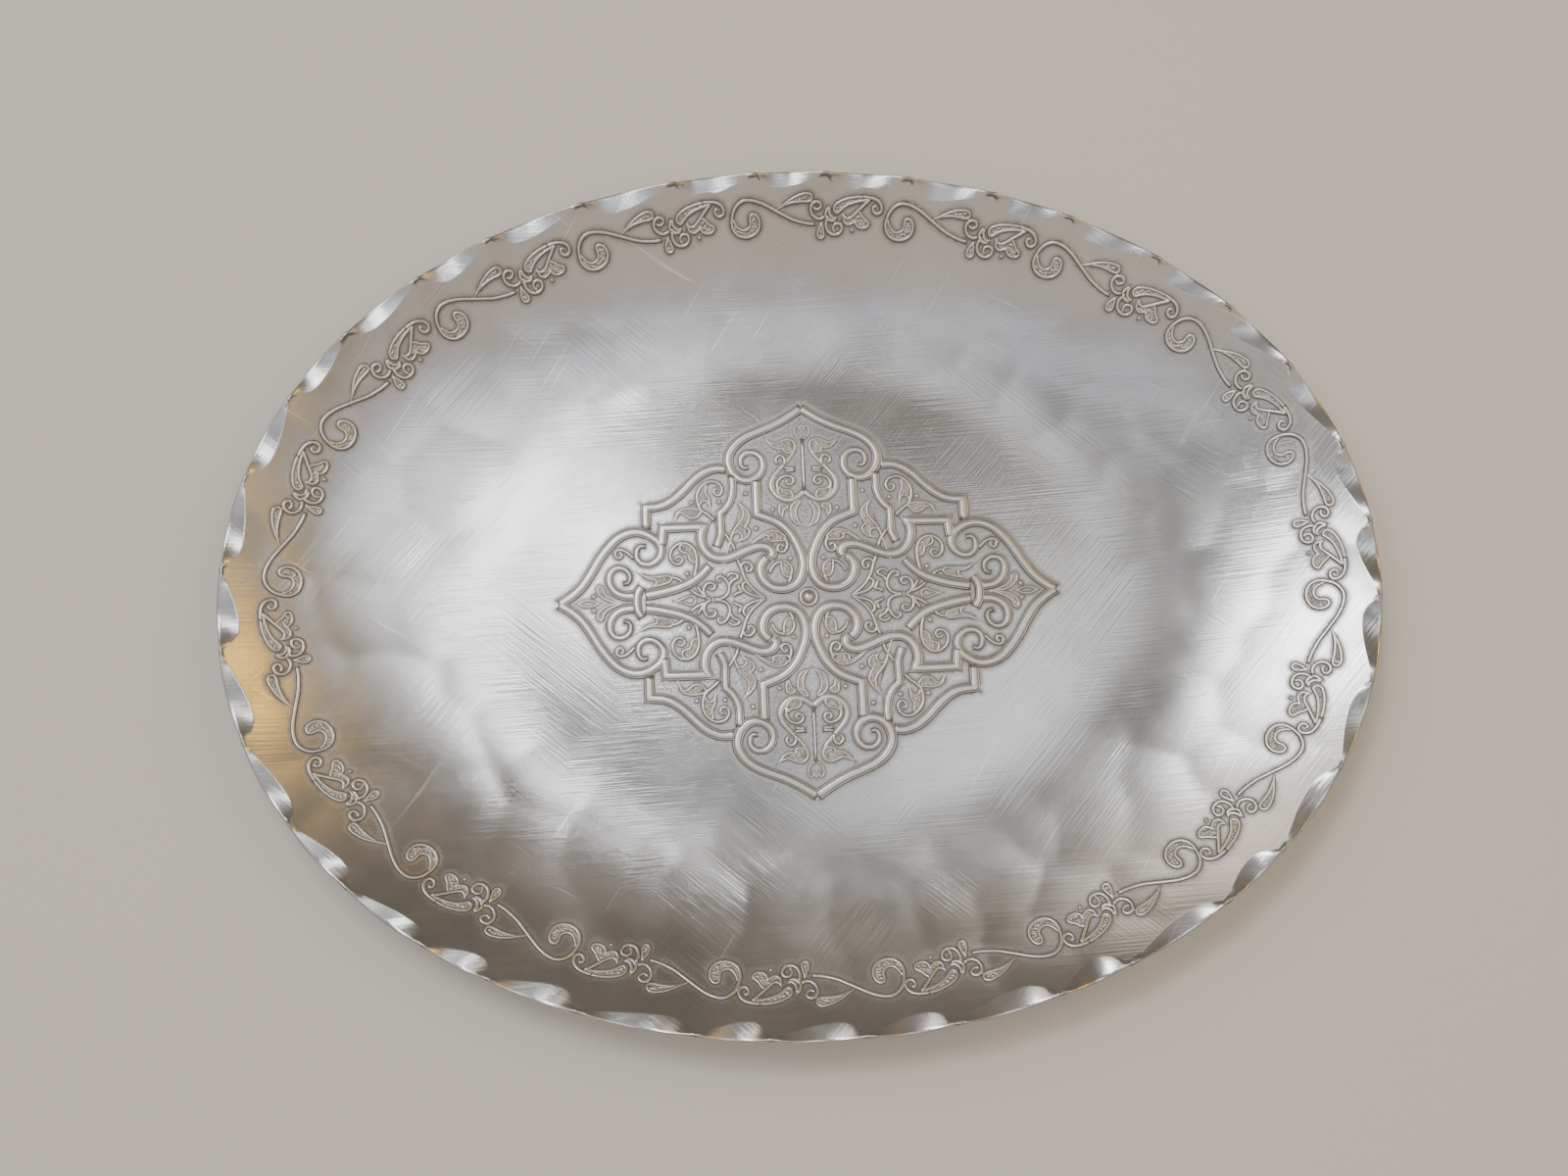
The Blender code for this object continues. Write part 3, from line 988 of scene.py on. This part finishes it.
def new_material(name):
    """A material with an empty node tree."""
    material = bpy.data.materials.new(name)
    material.use_nodes = True
    material.node_tree.nodes.clear()
    return material


print("white is", tuple(round(c, 2) for c in colour("#ffffff")))

# %% satin aluminium
SCRATCH_COLOUR = "#dedede"
# Colour of the tarnish and of the painted shade at the foot of the relief and in its grooves
TARNISH_AND_SHADE_COLOUR = "#3f3b36"


def streaks(tree, place, turn, stretch, detail):
    """Noise drawn out into lines; turn is the angle of the lines from the X axis, in radians."""
    turned = add_node(
        tree,
        "ShaderNodeVectorRotate",
        {"Vector": place, "Angle": -turn},
        rotation_type="Z_AXIS",
    )
    stretched = add_node(
        tree, "ShaderNodeMapping", {"Vector": turned.outputs[0], "Scale": stretch}
    )
    return add_node(
        tree,
        "ShaderNodeTexNoise",
        {"Vector": stretched.outputs[0], "Scale": 1.0, "Detail": detail, "Roughness": 0.6},
    ).outputs[0]


def ramp(tree, value, start, end, first=0.0, last=1.0):
    """A value carried from the range start to end over to the range first to last."""
    return add_node(
        tree,
        "ShaderNodeMapRange",
        {"Value": value, "From Min": start, "From Max": end, "To Min": first, "To Max": last},
    ).outputs[0]


def blend(tree, share, first, second):
    """Two values mixed by a share from 0 to 1."""
    return add_node(tree, "ShaderNodeMix", {0: share, 2: first, 3: second}).outputs[0]


def blend_colours(tree, share, first, second):
    """Two colours mixed by a share from 0 to 1."""
    return add_node(
        tree, "ShaderNodeMix", {0: share, 6: first, 7: second}, data_type="RGBA"
    ).outputs[2]


def satin_aluminium(name, tones, dullness=0.0, stipple=False):
    """Hand-rubbed aluminium: brush lines, scratches and mottling, and tarnish with painted shade where
    it is stored.
    """
    material = new_material(name)
    tree = material.node_tree
    place = add_node(tree, "ShaderNodeTexCoord").outputs["Object"]

    # Brush lines are about 0.2 mm apart on the metal. They are drawn about 1 mm apart here, because
    # finer ones would only shimmer. The cloth went mostly along the tray, and across it in patches.
    along = streaks(tree, place, 0.05, (30.0, 1100.0, 30.0), 3.0)
    rising = streaks(tree, place, 0.85, (40.0, 1000.0, 40.0), 3.0)
    falling = streaks(tree, place, -0.70, (40.0, 1000.0, 40.0), 3.0)
    patches = add_node(
        tree, "ShaderNodeTexNoise", {"Vector": place, "Scale": 16.0, "Detail": 2.0}
    ).outputs[0]
    brush = blend(tree, ramp(tree, patches, 0.50, 0.60), along, rising)
    brush = blend(tree, ramp(tree, patches, 0.46, 0.38), brush, falling)

    # A few long scratches in two directions, brighter than the rest
    first_scratches = ramp(tree, streaks(tree, place, 1.0, (20.0, 1000.0, 20.0), 1.0), 0.71, 0.78)
    other_scratches = ramp(tree, streaks(tree, place, -0.5, (26.0, 900.0, 26.0), 1.0), 0.73, 0.80)
    scratch = add_node(
        tree, "ShaderNodeMath", {0: first_scratches, 1: other_scratches}, operation="MAXIMUM"
    ).outputs[0]

    # Mottling 30 to 60 mm across, from rubbing and wear
    mottle = add_node(
        tree,
        "ShaderNodeTexNoise",
        {"Vector": place, "Scale": 28.0, "Detail": 4.0, "Roughness": 0.55},
    ).outputs[0]
    tone = blend_colours(tree, mottle, colour(tones[0]), colour(tones[1]))
    bright = blend_colours(tree, scratch, tone, colour(SCRATCH_COLOUR))

    # Tarnish and painted shade are stored on the relief's vertices; where nothing is stored they read as
    # none
    tarnish_and_shade = add_node(tree, "ShaderNodeAttribute", attribute_name="tarnish_and_shade").outputs["Fac"]
    metal = blend_colours(tree, tarnish_and_shade, bright, colour(TARNISH_AND_SHADE_COLOUR))

    rubbed = ramp(tree, mottle, 0.3, 0.7, 0.16 + dullness, 0.23 + dullness)
    streaked = add_node(
        tree, "ShaderNodeMath", {0: brush, 1: 0.06, 2: rubbed}, operation="MULTIPLY_ADD"
    ).outputs[0]
    rough = add_node(
        tree, "ShaderNodeMath", {0: tarnish_and_shade, 1: 0.45, 2: streaked}, operation="MULTIPLY_ADD"
    ).outputs[0]

    bump = add_node(
        tree,
        "ShaderNodeBump",
        {"Height": brush, "Strength": 0.3, "Distance": 0.0002},
    )
    if stipple:
        # The punch left pits about 0.8 mm apart
        pits = add_node(tree, "ShaderNodeTexVoronoi", {"Vector": place, "Scale": 1250.0}).outputs[0]
        bump = add_node(
            tree,
            "ShaderNodeBump",
            {"Height": pits, "Strength": 0.8, "Distance": 0.0004, "Normal": bump.outputs[0]},
        )
    shader = add_node(
        tree,
        "ShaderNodeBsdfPrincipled",
        {"Base Color": metal, "Metallic": 1.0, "Roughness": rough, "Normal": bump.outputs[0]},
    )
    add_node(tree, "ShaderNodeOutputMaterial", {"Surface": shader.outputs[0]})
    return material


SHEET_TONES = ("#b6b6b7", "#cfcfd0")
RELIEF_TONES = ("#c9c8c7", "#dfdedd")
sheet_metal = satin_aluminium("satin_aluminium", SHEET_TONES)  # hand-rubbed aluminium sheet
# Pressed relief, which the cloth keeps bright, and leaves punched all over with a fine point
relief_metal = satin_aluminium("pressed_aluminium", RELIEF_TONES, dullness=0.08)
punched_metal = satin_aluminium("stippled_aluminium", RELIEF_TONES, dullness=0.08, stipple=True)
for piece in [tray_sheet, *grounds]:
    piece.data.materials.append(sheet_metal)
for piece in relief:
    piece.data.materials.append(relief_metal)
for piece in stippled:
    piece.data.materials.append(punched_metal)
print("materials:", sheet_metal.name, relief_metal.name, punched_metal.name)

# %% [markdown]
# ## Stage, light and camera
#
# A pale floor, a few large soft lamps, and a camera that looks down at the tray from in front.

# %% stage
bm = bmesh.new()
bmesh.ops.create_grid(bm, x_segments=1, y_segments=1, size=8.0)
floor = store_object(bm, "floor", smooth=False)
floor_paint = new_material("pale_floor")  # matt paper
tree = floor_paint.node_tree
paper = add_node(tree, "ShaderNodeBsdfPrincipled", {"Base Color": colour("#f4f3f0"), "Roughness": 0.8})
add_node(tree, "ShaderNodeOutputMaterial", {"Surface": paper.outputs[0]})
floor.data.materials.append(floor_paint)

world = bpy.data.worlds.new("studio")
bpy.context.scene.world = world
world.use_nodes = True
world.node_tree.nodes["Background"].inputs["Color"].default_value = colour("#ffefd9")
world.node_tree.nodes["Background"].inputs["Strength"].default_value = 0.215


def add_lamp(name, place, span, radiance, code, distance=5.0):
    """A soft lamp, placed as a mirror in the tray would see it.

    place is its lean from straight above towards +X and +Y, and span its width and height there,
    all in degrees. radiance is how bright its surface is.
    """
    lean = math.radians(math.hypot(*place))
    heading = math.atan2(place[1], place[0])
    way = Vector(
        (math.sin(lean) * math.cos(heading), math.sin(lean) * math.sin(heading), math.cos(lean))
    )
    side = (Vector((1.0, 0.0, 0.0)) - way * way.x).normalized()
    data = bpy.data.lights.new(name, "AREA")
    data.shape = "RECTANGLE"
    data.size = 2.0 * distance * math.tan(math.radians(span[0] / 2.0))
    data.size_y = 2.0 * distance * math.tan(math.radians(span[1] / 2.0))
    # A lamp's surface is as bright as a quarter of its energy, shared over its area
    data.energy = 4.0 * data.size * data.size_y * radiance
    data.color = colour(code)[:3]
    item = bpy.data.objects.new(name, data)
    item.matrix_world = Matrix((side, way.cross(side), way)).transposed().to_4x4()
    item.location = way * distance
    bpy.context.scene.collection.objects.link(item)
    return item


add_lamp("near_lamp", (-9.2, 13.6), (7.6, 5.4), 12.0, "#ffffff", distance=0.72)
add_lamp("window", (-16.0, 20.0), (15.0, 13.0), 6.5, "#fdfeff")
add_lamp("window_top", (-15.0, 38.0), (16.0, 18.0), 1.45, "#ffefdc")
add_lamp("small_softbox", (12.0, 6.0), (14.0, 14.0), 1.7, "#fbfdff")
add_lamp("front_panel", (-4.0, -28.0), (56.0, 34.0), 0.48, "#ffeedd")
add_lamp("cool_strip", (3.0, -4.5), (38.0, 8.0), 0.9, "#e3edff")
add_lamp("left_fill", (-36.0, 12.0), (14.0, 50.0), 1.3, "#fffefa")
add_lamp("right_fill", (40.0, 12.0), (22.0, 54.0), 0.7, "#ffd99c")
add_lamp("warm_lamp", (30.5, 21.0), (8.0, 9.5), 4.2, "#ffc030")

# %% camera
VIEW_TILT = (12.3, -2.0, -1.86)  # degrees about X, Y and Z
VIEW_PLACE = (0.009, -0.0032, -0.569)  # of the medallion's centre, as seen from the camera

lens = bpy.data.cameras.new("camera")
lens.lens = 36.0
lens.sensor_width = 36.0
camera = bpy.data.objects.new("camera", lens)
bpy.context.scene.collection.objects.link(camera)
bpy.context.scene.camera = camera
tilt_x = Euler((math.radians(VIEW_TILT[0]), 0.0, 0.0)).to_matrix()
tilt_y = Euler((0.0, math.radians(VIEW_TILT[1]), 0.0)).to_matrix()
tilt_z = Euler((0.0, 0.0, math.radians(VIEW_TILT[2]))).to_matrix()
turned = tilt_x @ tilt_y @ tilt_z
camera.rotation_euler = turned.to_euler()
aim = Vector((*MEDALLION_CENTRE, SHEET))
camera.location = aim - turned @ Vector(VIEW_PLACE)
print("camera at", [round(value, 3) for value in camera.location])
